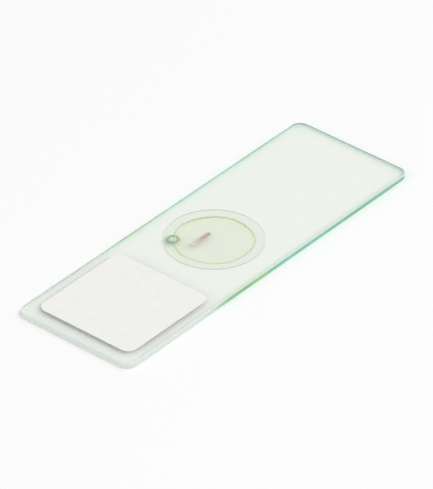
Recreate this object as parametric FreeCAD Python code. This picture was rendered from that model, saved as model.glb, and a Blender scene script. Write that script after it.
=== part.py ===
# A prepared microscope slide: two stained stem sections lie in clear resin on a glass plate,
# under a round cover glass, and a paper label covers one end of the plate.
# Millimetres. X runs along the plate with the label at -X, Y runs across it, and Z runs up
# from the middle of its underside.
import FreeCAD, Part
import math
import os

# glass plate, 3 inches by 1 inch, with rounded corners and a ground bevel round both faces
PLATE_LENGTH = 76.2
PLATE_WIDTH = 25.4
PLATE_THICKNESS = 1.1
PLATE_CORNER_RADIUS = 2.0
PLATE_BEVEL = 0.12

# paper label, centred across the plate
LABEL_LENGTH = 21.2
LABEL_WIDTH = 21.0
LABEL_THICKNESS = 0.1
LABEL_CORNER_RADIUS = 1.8
LABEL_END_GAP = 2.8

# cover glass, put down by hand a little off the middle of the plate
COVER_DIAMETER = 18.0
COVER_THICKNESS = 0.17
COVER_CENTRE = FreeCAD.Vector(-0.5, 0.2, 0)

# mounting resin: a film that fills the space under the cover, almost to its rim
RESIN_THICKNESS = 0.1
RESIN_RADIUS = 8.8
RESIN_RIPPLE = 0.06
RESIN_RIPPLE_COUNT = 5
RESIN_OUTLINE_POINTS = 60

# the two sections lie flat on the plate; their centres are measured from the cover's centre
SECTION_THICKNESS = 0.03
CROSS_SECTION_DIAMETER = 2.5
CROSS_SECTION_CENTRE = FreeCAD.Vector(-4.35, 5.65, 0)
LONG_SECTION_LENGTH = 5.1
LONG_SECTION_WIDTH = 0.86
LONG_SECTION_END_RADIUS = 0.2
LONG_SECTION_CENTRE = FreeCAD.Vector(-1.3, 1.9, 0)

# heights of the layers
PLATE_TOP = FreeCAD.Vector(0, 0, PLATE_THICKNESS)
RESIN_TOP = FreeCAD.Vector(0, 0, PLATE_THICKNESS + RESIN_THICKNESS)


def slab(wire, base, thickness):
    """The flat solid that a closed wire in the XY plane makes, standing on the point base."""
    solid = Part.Face(wire).extrude(FreeCAD.Vector(0, 0, thickness))
    solid.translate(base)
    return solid


def rounded_rectangle(length, width, radius):
    """A closed wire of four lines and four corner arcs, centred on the origin."""
    half_x = length / 2 - radius
    half_y = width / 2 - radius
    up = FreeCAD.Vector(0, 0, 1)
    edges = []
    corners = [(half_x, half_y), (-half_x, half_y), (-half_x, -half_y), (half_x, -half_y)]
    for quarter, (x, y) in enumerate(corners):
        start_angle = 90 * quarter
        corner = Part.Circle(FreeCAD.Vector(x, y, 0), up, radius)
        edges.append(corner.toShape(math.radians(start_angle), math.radians(start_angle + 90)))
    sides = []
    for quarter, corner in enumerate(edges):
        following = edges[(quarter + 1) % 4]
        start = corner.valueAt(corner.LastParameter)
        end = following.valueAt(following.FirstParameter)
        sides.append(Part.LineSegment(start, end).toShape())
    return Part.Wire(Part.__sortEdges__(edges + sides))


def glass_slide():
    """The plate, with its corners rounded and the rims of both faces bevelled."""
    outline = rounded_rectangle(PLATE_LENGTH, PLATE_WIDTH, PLATE_CORNER_RADIUS)
    plate = slab(outline, FreeCAD.Vector(0, 0, 0), PLATE_THICKNESS)
    rims = [edge for edge in plate.Edges if edge.BoundBox.ZLength < PLATE_BEVEL]
    return plate.makeChamfer(PLATE_BEVEL, rims)


def paper_label():
    """The blank label, stuck to the top of the plate near its -X end."""
    outline = rounded_rectangle(LABEL_LENGTH, LABEL_WIDTH, LABEL_CORNER_RADIUS)
    centre_x = -PLATE_LENGTH / 2 + LABEL_END_GAP + LABEL_LENGTH / 2
    return slab(outline, PLATE_TOP + FreeCAD.Vector(centre_x, 0, 0), LABEL_THICKNESS)


def cover_glass():
    """The thin glass disc that lies on the resin."""
    base = RESIN_TOP + COVER_CENTRE
    return Part.makeCylinder(COVER_DIAMETER / 2, COVER_THICKNESS, base)


def stem_cross_section():
    """A thin round slice across a stem."""
    base = PLATE_TOP + COVER_CENTRE + CROSS_SECTION_CENTRE
    return Part.makeCylinder(CROSS_SECTION_DIAMETER / 2, SECTION_THICKNESS, base)


def stem_long_section():
    """A thin strip cut along a stem, lying along the plate."""
    outline = rounded_rectangle(LONG_SECTION_LENGTH, LONG_SECTION_WIDTH, LONG_SECTION_END_RADIUS)
    return slab(outline, PLATE_TOP + COVER_CENTRE + LONG_SECTION_CENTRE, SECTION_THICKNESS)


def resin_edge(angle):
    """The edge of the resin at an angle about the cover's centre: a circle with a slight ripple."""
    radius = RESIN_RADIUS + RESIN_RIPPLE * math.sin(RESIN_RIPPLE_COUNT * angle)
    return FreeCAD.Vector(radius * math.cos(angle), radius * math.sin(angle), 0)


def mounting_resin():
    """The hardened resin between plate and cover, with a pocket where each section lies."""
    points = []
    for step in range(RESIN_OUTLINE_POINTS):
        points.append(resin_edge(2 * math.pi * step / RESIN_OUTLINE_POINTS))
    edge = Part.BSplineCurve()
    edge.interpolate(Points=points, PeriodicFlag=True)
    film = slab(Part.Wire(edge.toShape()), PLATE_TOP + COVER_CENTRE, RESIN_THICKNESS)
    return film.cut(stem_cross_section()).cut(stem_long_section())


PIECES = [glass_slide, paper_label, mounting_resin, stem_cross_section, stem_long_section, cover_glass]

os.makedirs("parts", exist_ok=True)
for piece in PIECES:
    piece().exportStep("parts/" + piece.__name__ + ".step")
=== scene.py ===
"""The look of a prepared microscope slide, dressed over its solid model. Metres, +X from the label to
the plain end, +Z up. It lies on its underside, with the cover glass on top."""

import math

import bmesh
import bpy
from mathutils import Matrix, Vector


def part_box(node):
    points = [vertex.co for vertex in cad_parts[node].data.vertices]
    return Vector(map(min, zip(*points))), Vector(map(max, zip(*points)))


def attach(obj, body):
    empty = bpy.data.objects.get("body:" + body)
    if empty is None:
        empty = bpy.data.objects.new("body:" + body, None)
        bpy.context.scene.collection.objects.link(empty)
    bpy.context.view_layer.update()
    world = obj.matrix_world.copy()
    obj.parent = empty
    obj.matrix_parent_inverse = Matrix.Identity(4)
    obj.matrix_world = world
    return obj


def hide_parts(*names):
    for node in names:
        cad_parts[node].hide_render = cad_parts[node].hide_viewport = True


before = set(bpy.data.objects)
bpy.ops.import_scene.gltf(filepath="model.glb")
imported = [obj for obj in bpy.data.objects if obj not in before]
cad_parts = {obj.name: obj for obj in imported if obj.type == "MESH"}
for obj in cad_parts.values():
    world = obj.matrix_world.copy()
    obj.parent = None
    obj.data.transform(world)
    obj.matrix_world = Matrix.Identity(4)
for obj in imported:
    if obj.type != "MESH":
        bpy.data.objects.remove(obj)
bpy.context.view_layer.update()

# --- Glass plate -------------------------------------------------------------------------------
# One strip of clear soda-lime glass, cut to size, with ground edges and rounded corners. Its faces
# are polished and nearly colourless. Its edges are green, because they show light that has come
# the whole way through the plate; that light is painted into the colour of the ground edges.


def rgb(red, green, blue):
    """A linear colour from the usual 0 to 255 values."""
    linear = []
    for value in (red, green, blue):
        share = value / 255
        linear.append(share / 12.92 if share <= 0.04045 else ((share + 0.055) / 1.055) ** 2.4)
    return (*linear, 1.0)


MM = 0.001
WHITE = (1.0, 1.0, 1.0, 1.0)
GLASS_IOR = 1.52
ABSORPTION_COLOUR = (0.42, 0.80, 0.50, 1.0)
ABSORPTION_PER_METRE = 20.0
LAMP_LIGHT_THROUGH_A_FACE = rgb(249, 250, 247)

# A face is ground where its normal is less upright than this: 1 is a flat face, and 0 an edge.
EDGE_LEAN = (0.8, 0.95)
EDGE_SHARE = 0.94
EDGE_ROUGHNESS = 0.35
GRIND_GRAIN = 9000.0
GRIND_STRENGTH = 0.3
GRIND_HEIGHT = 0.004 * MM

# The hue along the edge, from the label end at 0 to the plain end at 1. By the label it is pale, a painted
# reflection of the white label.
EDGE_LABEL_REFLECTION = rgb(232, 239, 234)
EDGE_GREEN = rgb(160, 218, 174)
EDGE_LIME = rgb(182, 222, 158)
EDGE_AQUA = rgb(170, 226, 208)
EDGE_TEAL = rgb(150, 214, 194)
EDGE_MIST = rgb(196, 226, 212)
EDGE_HUES = (
    (0.0, EDGE_LABEL_REFLECTION),
    (0.29, EDGE_LABEL_REFLECTION),
    (0.34, EDGE_GREEN),
    (0.45, EDGE_LIME),
    (0.54, EDGE_AQUA),
    (0.74, EDGE_AQUA),
    (0.81, EDGE_GREEN),
    (0.88, EDGE_TEAL),
    (1.0, EDGE_MIST),
)
HUE_DRIFT_GRAIN = 90.0
HUE_DRIFT = 0.12

# The edge is darkest along its middle, in streaks that start past the label, and palest at its rims, where
# a highlight along the bevels is painted.
EDGE_CORE = rgb(78, 164, 130)
CORE_REACH = (0.0, 0.6)
CORE_START = (0.2, 0.4)
CORE_SHARE = 0.4
STREAK_GRAIN = 160.0
STREAK_SIDES = (0.3, 0.6)
STREAK_SHARE = 0.4
EDGE_RIM_HIGHLIGHT = rgb(226, 244, 236)
RIM_HIGHLIGHT_START = (0.6, 0.9)
RIM_HIGHLIGHT_SHARE = 0.75


class Field:
    """One output in a shader tree. Arithmetic on it adds Math nodes to that tree."""

    def __init__(self, tree, output=None):
        self.tree = tree
        self.output = output

    def node(self, kind, inputs=None, out=0, stops=None, **settings):
        """Adds a node of this kind: its settings and ramp stops, then its sockets' values or links."""
        made = self.tree.nodes.new("ShaderNode" + kind)
        for name, value in settings.items():
            setattr(made, name, value)
        if stops is not None:
            ramp = made.color_ramp.elements
            while len(ramp) < len(stops):
                ramp.new(1.0)
            for element, (position, colour) in zip(ramp, stops):
                element.position = position
                element.color = colour
        for place, value in (inputs or {}).items():
            if isinstance(value, Field):
                self.tree.links.new(value.output, made.inputs[place])
            else:
                made.inputs[place].default_value = value
        return Field(self.tree, made.outputs[out] if made.outputs else None)

    def math(self, operation, *values):
        return self.node("Math", dict(enumerate(values)), operation=operation)

    def __add__(self, other):
        return self.math("ADD", self, other)

    __radd__ = __add__

    def __sub__(self, other):
        return self.math("SUBTRACT", self, other)

    def __rsub__(self, other):
        return self.math("SUBTRACT", other, self)

    def __mul__(self, other):
        return self.math("MULTIPLY", self, other)

    __rmul__ = __mul__

    def __truediv__(self, other):
        return self.math("DIVIDE", self, other)

    def __rtruediv__(self, other):
        return self.math("DIVIDE", other, self)

    def step(self, start, end):
        """0 at start and 1 at end, with a smooth rise between them."""
        return self.node("MapRange", {0: self, 1: start, 2: end}, interpolation_type="SMOOTHSTEP")

    def between(self, rise, top, fall, end):
        """A smooth rise from rise to top, then 1, then a smooth fall from fall to end."""
        return self.step(rise, top) * (1 - self.step(fall, end))

    def mix(self, low, high):
        """The colour low where this is 0, and high where it is 1."""
        return self.node("Mix", {0: self, 6: low, 7: high}, out=2, data_type="RGBA")

    def part(self, axis):
        """One of the three numbers of this place or direction."""
        return self.node("SeparateXYZ", {0: self}, out=axis)

    def noise(self, scale, detail=2.0, roughness=0.5):
        """Noise over this place, with about this many grains to the metre."""
        return self.node(
            "TexNoise", {"Vector": self, "Scale": scale, "Detail": detail, "Roughness": roughness}
        )


def finish_for(name):
    """A new material and the start of its shader tree."""
    material = bpy.data.materials.new(name)
    material.use_nodes = True
    material.node_tree.nodes.clear()
    return material, Field(material.node_tree)


def lean_of(tree):
    """How upright a face's normal is: 1 on a flat face, and 0 on an edge."""
    return tree.math("ABSOLUTE", tree.node("NewGeometry", out="True Normal").part("Z"))


def clear_glass(tree):
    """Polished glass that the lamps and the light from the floor pass without bending."""
    glass = tree.node(
        "BsdfPrincipled",
        {"Base Color": WHITE, "Roughness": 0.0, "IOR": GLASS_IOR, "Transmission Weight": 1.0},
    )
    straight = tree.node("BsdfTransparent", {"Color": LAMP_LIGHT_THROUGH_A_FACE})
    to_lamps = tree.node("LightPath", out="Is Shadow Ray")
    from_floor = tree.node("LightPath", out="Is Diffuse Ray")
    unbent = tree.math("MAXIMUM", to_lamps, from_floor)
    return tree.node("MixShader", {0: unbent, 1: glass, 2: straight})


def plate_glass():
    """Clear glass, with ground edges whose green shifts along the plate and pales by the label, a painted
    reflection of the white label.
    """
    material, tree = finish_for("plate_glass")
    low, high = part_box("glass_slide")
    place = tree.node("TexCoord", out="Object")
    edge = 1 - lean_of(tree).step(*EDGE_LEAN)

    drift = place.noise(HUE_DRIFT_GRAIN) - 0.5
    along = (place.part("X") - low.x) / (high.x - low.x) + drift * HUE_DRIFT
    # The edges' green is painted, for the glass's tint and the light that comes through the length of the
    # plate.
    colour = tree.node("ValToRGB", {0: along}, stops=EDGE_HUES)
    off_centre = tree.math("ABSOLUTE", (place.part("Z") / high.z - 0.5) * 2)
    streak = place.noise(STREAK_GRAIN).step(*STREAK_SIDES)
    core = (1 - off_centre.step(*CORE_REACH)) * (CORE_SHARE + streak * STREAK_SHARE)
    colour = (core * along.step(*CORE_START)).mix(colour, EDGE_CORE)
    # A painted highlight along the top and bottom rims of the edge.
    colour = (off_centre.step(*RIM_HIGHLIGHT_START) * RIM_HIGHLIGHT_SHARE).mix(colour, EDGE_RIM_HIGHLIGHT)
    grind = place.noise(GRIND_GRAIN, detail=3.0) * edge
    bump = tree.node("Bump", {"Height": grind, "Strength": GRIND_STRENGTH, "Distance": GRIND_HEIGHT})
    ground = tree.node(
        "BsdfPrincipled", {"Base Color": colour, "Roughness": edge * EDGE_ROUGHNESS, "Normal": bump}
    )

    shader = tree.node("MixShader", {0: edge * EDGE_SHARE, 1: clear_glass(tree), 2: ground})
    volume = tree.node("VolumeAbsorption", {"Color": ABSORPTION_COLOUR, "Density": ABSORPTION_PER_METRE})
    tree.node("OutputMaterial", {"Surface": shader, "Volume": volume})
    return material


def dress(piece, material):
    """The piece wears this material alone."""
    piece.data.materials.clear()
    piece.data.materials.append(material)


dress(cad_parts["glass_slide"], plate_glass())

# --- Paper label -------------------------------------------------------------------------------
# A square of smooth white label paper with rounded corners, stuck to the top of the plate by its
# own adhesive. It is blank.

PAPER_WHITE = rgb(245, 244, 243)
PAPER_SHADE = rgb(238, 238, 237)
CLOUD_GRAIN = 600.0
CLOUD_SHARE = 0.4
FIBRE_GRAIN = 7000.0
FIBRE_SHARE = 0.6
MOTTLE_SIDES = (0.35, 0.65)
PAPER_ROUGHNESS = 0.6
FIBRE_ROUGHNESS = 0.2
FIBRE_STRENGTH = 0.5
FIBRE_HEIGHT = 0.012 * MM


def label_paper():
    """White paper, with faint clouding and fibres."""
    material, tree = finish_for("label_paper")
    place = tree.node("TexCoord", out="Object")
    cloud = place.noise(CLOUD_GRAIN, detail=4.0, roughness=0.65)
    fibre = place.noise(FIBRE_GRAIN, detail=4.0, roughness=0.7)
    mottle = (cloud * CLOUD_SHARE + fibre * FIBRE_SHARE).step(*MOTTLE_SIDES)
    bump = tree.node("Bump", {"Height": fibre, "Strength": FIBRE_STRENGTH, "Distance": FIBRE_HEIGHT})
    paper = tree.node(
        "BsdfPrincipled",
        {
            "Base Color": mottle.mix(PAPER_SHADE, PAPER_WHITE),
            "Roughness": PAPER_ROUGHNESS + fibre * FIBRE_ROUGHNESS,
            "Normal": bump,
        },
    )
    tree.node("OutputMaterial", {"Surface": paper})
    return material


dress(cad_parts["paper_label"], label_paper())

# --- Stem cross section ------------------------------------------------------------------------
# A slice a few hundredths of a millimetre thick cut across a young stem, stained green: a dark skin
# and a ring of dark bundles round a paler pith. It is stuck flat to the plate, under the resin.

# Tissue is held this far above the plate, so that their faces don't coincide.
TISSUE_GAP = 0.008 * MM
TISSUE_ROUGHNESS = 0.6

# Ripples of the slice's outline: how many go round it, their share of its radius, and their lead.
CROSS_RIPPLES = ((3, 0.020, 0.4), (5, 0.012, 2.1), (9, 0.008, 1.3))
CROSS_POINTS = 96
CROSS_RINGS = (0.0, 0.04, 0.12, 0.3, 0.5, 0.7, 0.9)

# Where each layer starts or ends, from 0 at the skin to 1 at the middle.
SKIN_END = (0.07, 0.16)
BUNDLE_RING = (0.22, 0.28, 0.46, 0.52)
PITH_START = (0.46, 0.54)

# The bundles are the crests of this many waves round their ring.
BUNDLES = 13
BUNDLE_SIDES = (-0.1, 0.6)
CELL_GRAIN = 11000.0
CELL_WALL = (0.02, 0.12)
FLESH_GREEN = rgb(166, 208, 176)
PITH_GREEN = rgb(214, 236, 214)
WALL_GREEN = rgb(128, 178, 148)
WALL_SHARE = 0.4
DARK_GREEN = rgb(66, 128, 96)
DARK_SHARE = 0.9


def film(name, loops):
    """A closed mesh through loops of (x, y, z, depth) points, each joined to the next, ends filled."""
    mesh = bmesh.new()
    depth = mesh.verts.layers.float.new("depth")
    rows = []
    for loop in loops:
        row = []
        for x, y, z, inward in loop:
            vertex = mesh.verts.new((x, y, z))
            vertex[depth] = inward
            row.append(vertex)
        rows.append(row)
    for upper, lower in zip(rows, rows[1:]):
        for turn in range(len(upper)):
            mesh.faces.new((upper[turn], upper[turn - 1], lower[turn - 1], lower[turn]))
    for end in (rows[0], rows[-1]):
        cap = mesh.faces.new(end)
        inward = end[0][depth]
        for hub in bmesh.ops.poke(mesh, faces=[cap])["verts"]:
            hub[depth] = inward
    bmesh.ops.recalc_face_normals(mesh, faces=mesh.faces)
    data = bpy.data.meshes.new(name)
    mesh.to_mesh(data)
    mesh.free()
    piece = bpy.data.objects.new(name, data)
    bpy.context.collection.objects.link(piece)
    return piece


def stand_in(piece, node, material):
    """The piece takes the place of a solid, and wears this material."""
    dress(piece, material)
    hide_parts(node)
    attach(piece, "root")


def place_from(tree, centre):
    """A place on the piece, measured from its centre."""
    place = tree.node("TexCoord", out="Object")
    return tree.node("VectorMath", {0: place, 1: centre}, operation="SUBTRACT")


def depth_in(tree):
    """The depth that film() keeps at each point of its mesh."""
    return tree.node("Attribute", out="Fac", attribute_name="depth")


def round_slice():
    """The slice, a little out of round. depth runs from 0 at its skin to 1 at its middle."""
    low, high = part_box("stem_cross_section")
    centre = (low + high) / 2
    half = (high - low) / 2
    largest = half.x / (1 + sum(share for _, share, _ in CROSS_RIPPLES))

    def loop(inward, z):
        points = []
        for step in range(CROSS_POINTS):
            angle = 2 * math.pi * step / CROSS_POINTS
            ripple = sum(share * math.sin(count * angle + lead) for count, share, lead in CROSS_RIPPLES)
            radius = largest * (1 + ripple) * (1 - inward)
            x = centre.x + radius * math.cos(angle)
            y = centre.y + radius * math.sin(angle)
            points.append((x, y, z, inward))
        return points

    top = [loop(inward, high.z) for inward in reversed(CROSS_RINGS)]
    bottom = [loop(inward, low.z + TISSUE_GAP) for inward in CROSS_RINGS]
    return film("stem_slice", top + bottom), centre


def green_tissue(centre):
    """Stained cells: their walls show as a net, the skin and the bundles are darkest."""
    material, tree = finish_for("green_stain")
    place = place_from(tree, centre)
    depth = depth_in(tree)
    cells = tree.node(
        "TexVoronoi",
        {"Vector": place, "Scale": CELL_GRAIN},
        feature="DISTANCE_TO_EDGE",
        voronoi_dimensions="2D",
    )
    wall = 1 - cells.step(*CELL_WALL)
    skin = 1 - depth.step(*SKIN_END)
    angle = tree.math("ARCTAN2", place.part("Y"), place.part("X"))
    wave = tree.math("SINE", angle * BUNDLES)
    bundle = depth.between(*BUNDLE_RING) * wave.step(*BUNDLE_SIDES)
    colour = depth.step(*PITH_START).mix(FLESH_GREEN, PITH_GREEN)
    colour = (wall * WALL_SHARE).mix(colour, WALL_GREEN)
    colour = (tree.math("MAXIMUM", skin, bundle) * DARK_SHARE).mix(colour, DARK_GREEN)
    tissue = tree.node("BsdfPrincipled", {"Base Color": colour, "Roughness": TISSUE_ROUGHNESS})
    tree.node("OutputMaterial", {"Surface": tissue})
    return material


slice_piece, slice_centre = round_slice()
stand_in(slice_piece, "stem_cross_section", green_tissue(slice_centre))

# --- Stem long section -------------------------------------------------------------------------
# A narrow strip cut along the same kind of stem, stained red brown, with its fibres running down its
# length and its cut ends a little ragged. It is stuck flat to the plate too.

STRIP_INSETS = (0.0, 0.04 * MM, 0.1 * MM, 0.18 * MM, 0.28 * MM)
STRIP_CORNER = 0.1 * MM
STRIP_LEAST_CORNER = 0.02 * MM
STRIP_CORNER_POINTS = 5

# The strip's corners in turn, and the number of points on the side that follows each.
STRIP_CORNERS = ((1, 1), (-1, 1), (-1, -1), (1, -1))
STRIP_SIDE_POINTS = (100, 20, 100, 20)

# How far the edge frays, and the waves that fray it: how many go round the strip, and their lead.
STRIP_END_FRAY = 0.12 * MM
STRIP_SIDE_FRAY = 0.03 * MM
STRIP_FRAY_WAVES = ((19, 0.3), (34, 1.9), (47, 0.8))

# Where the strip darkens, from -1 at its -X end to 1 at its +X end.
STRIP_DARKENING = (-1.0, 0.7)
STRIP_PALE = rgb(232, 214, 202)
STRIP_RED = rgb(196, 167, 154)
STRAND_GRAIN = 420.0
STRAND_STRETCH = (1.0, 25.0, 1.0)
STRAND_SIDES = (0.42, 0.58)
STRAND_RED = rgb(156, 122, 110)
STRAND_SHARE = 0.6
STRIP_EDGE_END = (0.0, 0.35)
STRIP_EDGE_RED = rgb(172, 138, 124)
STRIP_EDGE_SHARE = 0.4


def strip_slice():
    """The strip: a rounded rectangle, frayed most at its ends. depth is 0 at its edge."""
    low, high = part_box("stem_long_section")
    centre = (low + high) / 2
    half = (high - low) / 2

    def outline(inset):
        """Points (x, y, normal x, normal y) round the strip, this far in from where its fray starts."""
        radius = max(STRIP_CORNER - inset, STRIP_LEAST_CORNER)
        reach_x = half.x - STRIP_END_FRAY - inset - radius
        reach_y = half.y - STRIP_SIDE_FRAY - inset - radius
        points = []
        for quarter, (way_x, way_y) in enumerate(STRIP_CORNERS):
            for step in range(STRIP_CORNER_POINTS):
                angle = math.pi / 2 * (quarter + step / (STRIP_CORNER_POINTS - 1))
                out_x = math.cos(angle)
                out_y = math.sin(angle)
                x = way_x * reach_x + radius * out_x
                y = way_y * reach_y + radius * out_y
                points.append((x, y, out_x, out_y))
            next_x, next_y = STRIP_CORNERS[(quarter + 1) % 4]
            end_x = next_x * reach_x + radius * out_x
            end_y = next_y * reach_y + radius * out_y
            for step in range(1, STRIP_SIDE_POINTS[quarter]):
                share = step / STRIP_SIDE_POINTS[quarter]
                points.append((x + (end_x - x) * share, y + (end_y - y) * share, out_x, out_y))
        return points

    def loop(inset, z):
        depth = (STRIP_SIDE_FRAY + inset) / half.y
        return [(centre.x + x, centre.y + y, z, depth) for x, y, _, _ in outline(inset)]

    def frayed(z):
        points = []
        around = outline(0.0)
        for index, (x, y, out_x, out_y) in enumerate(around):
            turn = 2 * math.pi * index / len(around)
            waves = sum(math.sin(count * turn + lead) for count, lead in STRIP_FRAY_WAVES)
            share = 0.5 + 0.5 * waves / len(STRIP_FRAY_WAVES)
            x += out_x * STRIP_END_FRAY * share
            y += out_y * STRIP_SIDE_FRAY * share
            points.append((centre.x + x, centre.y + y, z, 0.0))
        return points

    seat = low.z + TISSUE_GAP
    top = [loop(inset, high.z) for inset in reversed(STRIP_INSETS)] + [frayed(high.z)]
    bottom = [frayed(seat)] + [loop(inset, seat) for inset in STRIP_INSETS]
    return film("stem_strip", top + bottom), centre, half


def red_tissue(centre, half):
    """Stained fibres, darker towards the +X end and paler at the other."""
    material, tree = finish_for("red_stain")
    place = place_from(tree, centre)
    long_way = tree.node("VectorMath", {0: place, 1: STRAND_STRETCH}, operation="MULTIPLY")
    strand = long_way.noise(STRAND_GRAIN, detail=3.0, roughness=0.6).step(*STRAND_SIDES)
    along = (place.part("X") / half.x).step(*STRIP_DARKENING)
    edge = 1 - depth_in(tree).step(*STRIP_EDGE_END)
    colour = along.mix(STRIP_PALE, STRIP_RED)
    colour = (strand * along * STRAND_SHARE).mix(colour, STRAND_RED)
    colour = (edge * STRIP_EDGE_SHARE).mix(colour, STRIP_EDGE_RED)
    tissue = tree.node("BsdfPrincipled", {"Base Color": colour, "Roughness": TISSUE_ROUGHNESS})
    tree.node("OutputMaterial", {"Surface": tissue})
    return material


strip_piece, strip_centre, strip_half = strip_slice()
stand_in(strip_piece, "stem_long_section", red_tissue(strip_centre, strip_half))

# --- Mounting resin ----------------------------------------------------------------------------
# A drop of clear resin, pressed out to a thin film under the cover glass, almost to its rim, and set
# hard. An olive line runs round in it, where its yellower middle ends.

# The film keeps this far from the plate and the cover glass, so that their faces don't coincide.
RESIN_GAP = 0.004 * MM
RESIN_POINTS = 180
RESIN_RADIUS = 8.8 * MM
RESIN_RIPPLE = 0.06 * MM
RESIN_RIPPLE_COUNT = 5
RESIN_WAIST = 0.05 * MM
RESIN_INSETS = (0.0, 0.1 * MM, 0.4 * MM, 1.0 * MM, 1.6 * MM, 2.2 * MM, 3.2 * MM, 5.0 * MM, 7.0 * MM)

# Where each colour rises and falls, in millimetres in from the olive line's outer side.
OLIVE_LINE_DEPTH = 1.6
LINE_SPAN = (-0.08, 0.0, 0.06, 0.16)
BAND_SPAN = (0.1, 0.2, 0.32, 0.54)
GLOW_SPAN = (0.36, 0.56, 0.9, 1.8)
MIDDLE_START = (0.0, 0.3)
RESIN_CLEAR = rgb(240, 236, 150)
RESIN_YELLOW = rgb(244, 238, 100)
BAND_OLIVE = rgb(156, 158, 76)
LINE_OLIVE = rgb(100, 112, 76)

# The share that each covers of what lies below it.
RESIN_COVER = 0.02
MIDDLE_COVER = 0.03
GLOW_COVER = 0.1
BAND_COVER = 0.5
LINE_COVER = 0.28
RESIN_ROUGHNESS = 0.3

# Band and glow are weakest on the resin's thin side. They gain strength towards its thick side.
THIN_STRENGTH = 0.25
THICK_WAY = (0.82, 0.57, 0.0)
THICK_START = (0.2, 0.8)
THICK_GAIN = 0.55
DRIFT_GRAIN = 150.0
DRIFT_SIDES = (0.4, 0.6)
DRIFT_GAIN = 0.15


def resin_film():
    """The film. depth is the distance in from its edge, in millimetres."""
    low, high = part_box("mounting_resin")
    cover_low, cover_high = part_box("cover_glass")
    centre = (cover_low + cover_high) / 2

    def loop(inset, z):
        points = []
        for step in range(RESIN_POINTS):
            angle = 2 * math.pi * step / RESIN_POINTS
            radius = RESIN_RADIUS + RESIN_RIPPLE * math.sin(RESIN_RIPPLE_COUNT * angle) - inset
            x = centre.x + radius * math.cos(angle)
            y = centre.y + radius * math.sin(angle)
            points.append((x, y, z, inset / MM))
        return points

    top = [loop(inset, high.z - RESIN_GAP) for inset in reversed(RESIN_INSETS)]
    waist = [loop(RESIN_WAIST, (low.z + high.z) / 2)]
    bottom = [loop(inset, low.z + RESIN_GAP) for inset in RESIN_INSETS]
    return film("resin_film", top + waist + bottom), centre


def resin(centre):
    """Clear resin with an olive line in it: pale yellow inside the line, nearly invisible elsewhere."""
    material, tree = finish_for("resin")
    inward = depth_in(tree) - OLIVE_LINE_DEPTH
    place = place_from(tree, centre)
    thick = tree.node("VectorMath", {0: place, 1: THICK_WAY}, out="Value", operation="DOT_PRODUCT")
    thick = (thick / RESIN_RADIUS).step(*THICK_START)
    drift = place.noise(DRIFT_GRAIN, detail=1.0).step(*DRIFT_SIDES)
    strength = THIN_STRENGTH + thick * THICK_GAIN + drift * DRIFT_GAIN
    line = inward.between(*LINE_SPAN)
    band = inward.between(*BAND_SPAN) * strength
    glow = inward.between(*GLOW_SPAN)
    colour = glow.mix(RESIN_CLEAR, RESIN_YELLOW)
    colour = band.mix(colour, BAND_OLIVE)
    colour = line.mix(colour, LINE_OLIVE)
    cover = RESIN_COVER + inward.step(*MIDDLE_START) * MIDDLE_COVER + glow * strength * GLOW_COVER
    cover = cover + band * BAND_COVER + line * LINE_COVER
    body = tree.node("BsdfPrincipled", {"Base Color": colour, "Roughness": RESIN_ROUGHNESS, "Alpha": cover})
    tree.node("OutputMaterial", {"Surface": body})
    return material


def let_light_past(piece):
    """The piece casts no shadow, and the light from the floor skips it."""
    piece.visible_shadow = False
    piece.visible_diffuse = False


resin_piece, resin_centre = resin_film()
stand_in(resin_piece, "mounting_resin", resin(resin_centre))
let_light_past(resin_piece)

# --- Cover glass -------------------------------------------------------------------------------
# A round disc of very thin clear glass, laid on the resin while it was wet. Its cut rim catches the
# light as a fine line.

COVER_TINT = rgb(250, 252, 250)
HEAD_ON_MIRROR = 0.043
SLANT_POWER = 5.0
COVER_RIM_LEAN = (0.3, 0.7)
COVER_RIM_GREY = rgb(176, 188, 172)
COVER_RIM_ROUGHNESS = 0.3
COVER_RIM_SHARE = 0.6


def cover_glass():
    """A clear pane that mirrors a little, and more at a slant, with a greyer rim."""
    material, tree = finish_for("cover_glass")
    rim = 1 - lean_of(tree).step(*COVER_RIM_LEAN)
    slant = tree.math("POWER", tree.node("LayerWeight", {"Blend": 0.5}, out="Facing"), SLANT_POWER)
    mirrored = HEAD_ON_MIRROR + slant * (1 - HEAD_ON_MIRROR)
    straight = tree.node("BsdfTransparent", {"Color": COVER_TINT})
    mirror = tree.node("BsdfAnisotropic", {"Color": WHITE, "Roughness": 0.0})
    pane = tree.node("MixShader", {0: mirrored, 1: straight, 2: mirror})
    cut = tree.node("BsdfPrincipled", {"Base Color": COVER_RIM_GREY, "Roughness": COVER_RIM_ROUGHNESS})
    shader = tree.node("MixShader", {0: rim * COVER_RIM_SHARE, 1: pane, 2: cut})
    tree.node("OutputMaterial", {"Surface": shader})
    return material


dress(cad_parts["cover_glass"], cover_glass())
let_light_past(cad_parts["cover_glass"])

# --- Studio ------------------------------------------------------------------------------------
# A plain white table top in an even pale room, under three soft lamps. The camera looks down on the
# slide, with the label end nearest.

FLOOR_SIZE = 8.0
FLOOR_GAP = 0.02 * MM
FLOOR_WHITE = rgb(254, 254, 254)
AMBIENT = 0.6
BACKDROP = 1.0
CAMERA_AZIMUTH = -49.9
CAMERA_ELEVATION = 35.2
CAMERA_DISTANCE = 0.943
LENS_MM = 398.0


def floor():
    """A white table top, just under the slide."""
    bpy.ops.mesh.primitive_plane_add(size=FLOOR_SIZE, location=(0, 0, -FLOOR_GAP))
    table_top = bpy.context.object
    table_top.name = "table_top"
    material, tree = finish_for("table_top")
    tree.node("OutputMaterial", {"Surface": tree.node("BsdfDiffuse", {"Color": FLOOR_WHITE})})
    dress(table_top, material)


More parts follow.
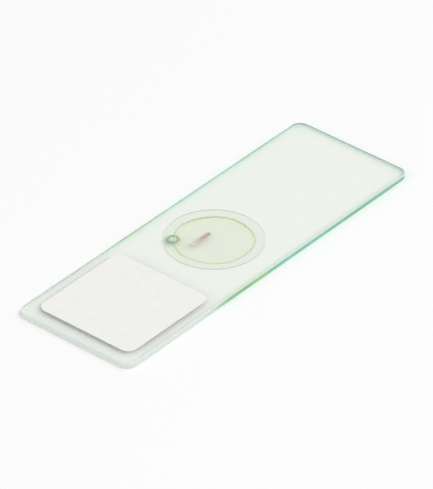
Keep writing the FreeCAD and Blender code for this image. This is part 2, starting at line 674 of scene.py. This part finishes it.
def set_up(piece, azimuth, elevation, distance):
    """Sets a lamp or the camera facing the slide. Angles are in degrees, and azimuth 0 is at -Y."""
    around = math.radians(azimuth)
    above = math.radians(elevation)
    level = math.cos(above)
    towards = Vector((math.sin(around) * level, -math.cos(around) * level, math.sin(above)))
    piece.location = towards * distance
    piece.rotation_euler = towards.to_track_quat("Z", "Y").to_euler()
    bpy.context.collection.objects.link(piece)


def lamp(name, azimuth, elevation, distance, width, watts):
    """A square soft lamp that faces the slide."""
    data = bpy.data.lights.new(name, "AREA")
    data.shape = "SQUARE"
    data.size = width
    data.energy = watts
    set_up(bpy.data.objects.new(name, data), azimuth, elevation, distance)


def surroundings():
    """An even pale room, seen as white by the camera and in glass."""
    world = bpy.data.worlds.new("room")
    bpy.context.scene.world = world
    world.use_nodes = True
    world.node_tree.nodes.clear()
    tree = Field(world.node_tree)
    camera = tree.node("LightPath", out="Is Camera Ray")
    glossy = tree.node("LightPath", out="Is Glossy Ray")
    through = tree.node("LightPath", out="Is Transmission Ray")
    bounced = tree.node("LightPath", out="Diffuse Depth")
    seen = tree.math("MAXIMUM", camera, tree.math("MAXIMUM", glossy, through))
    seen = seen * tree.math("LESS_THAN", bounced, 1)
    room = tree.node("Background", {"Color": WHITE, "Strength": AMBIENT})
    backdrop = tree.node("Background", {"Color": WHITE, "Strength": BACKDROP})
    tree.node("OutputWorld", {"Surface": tree.node("MixShader", {0: seen, 1: room, 2: backdrop})})


def camera():
    """Looks down on the slide, with the label end nearest."""
    data = bpy.data.cameras.new("camera")
    data.lens = LENS_MM
    piece = bpy.data.objects.new("camera", data)
    set_up(piece, CAMERA_AZIMUTH, CAMERA_ELEVATION, CAMERA_DISTANCE)
    bpy.context.scene.camera = piece


floor()
lamp("overhead", azimuth=10, elevation=62, distance=1.2, width=0.7, watts=4.2)
lamp("side", azimuth=62, elevation=40, distance=1.6, width=1.4, watts=4.4)
lamp("fill", azimuth=-105, elevation=30, distance=1.6, width=1.4, watts=3.6)
surroundings()
camera()
bpy.context.scene.view_settings.view_transform = "Standard"
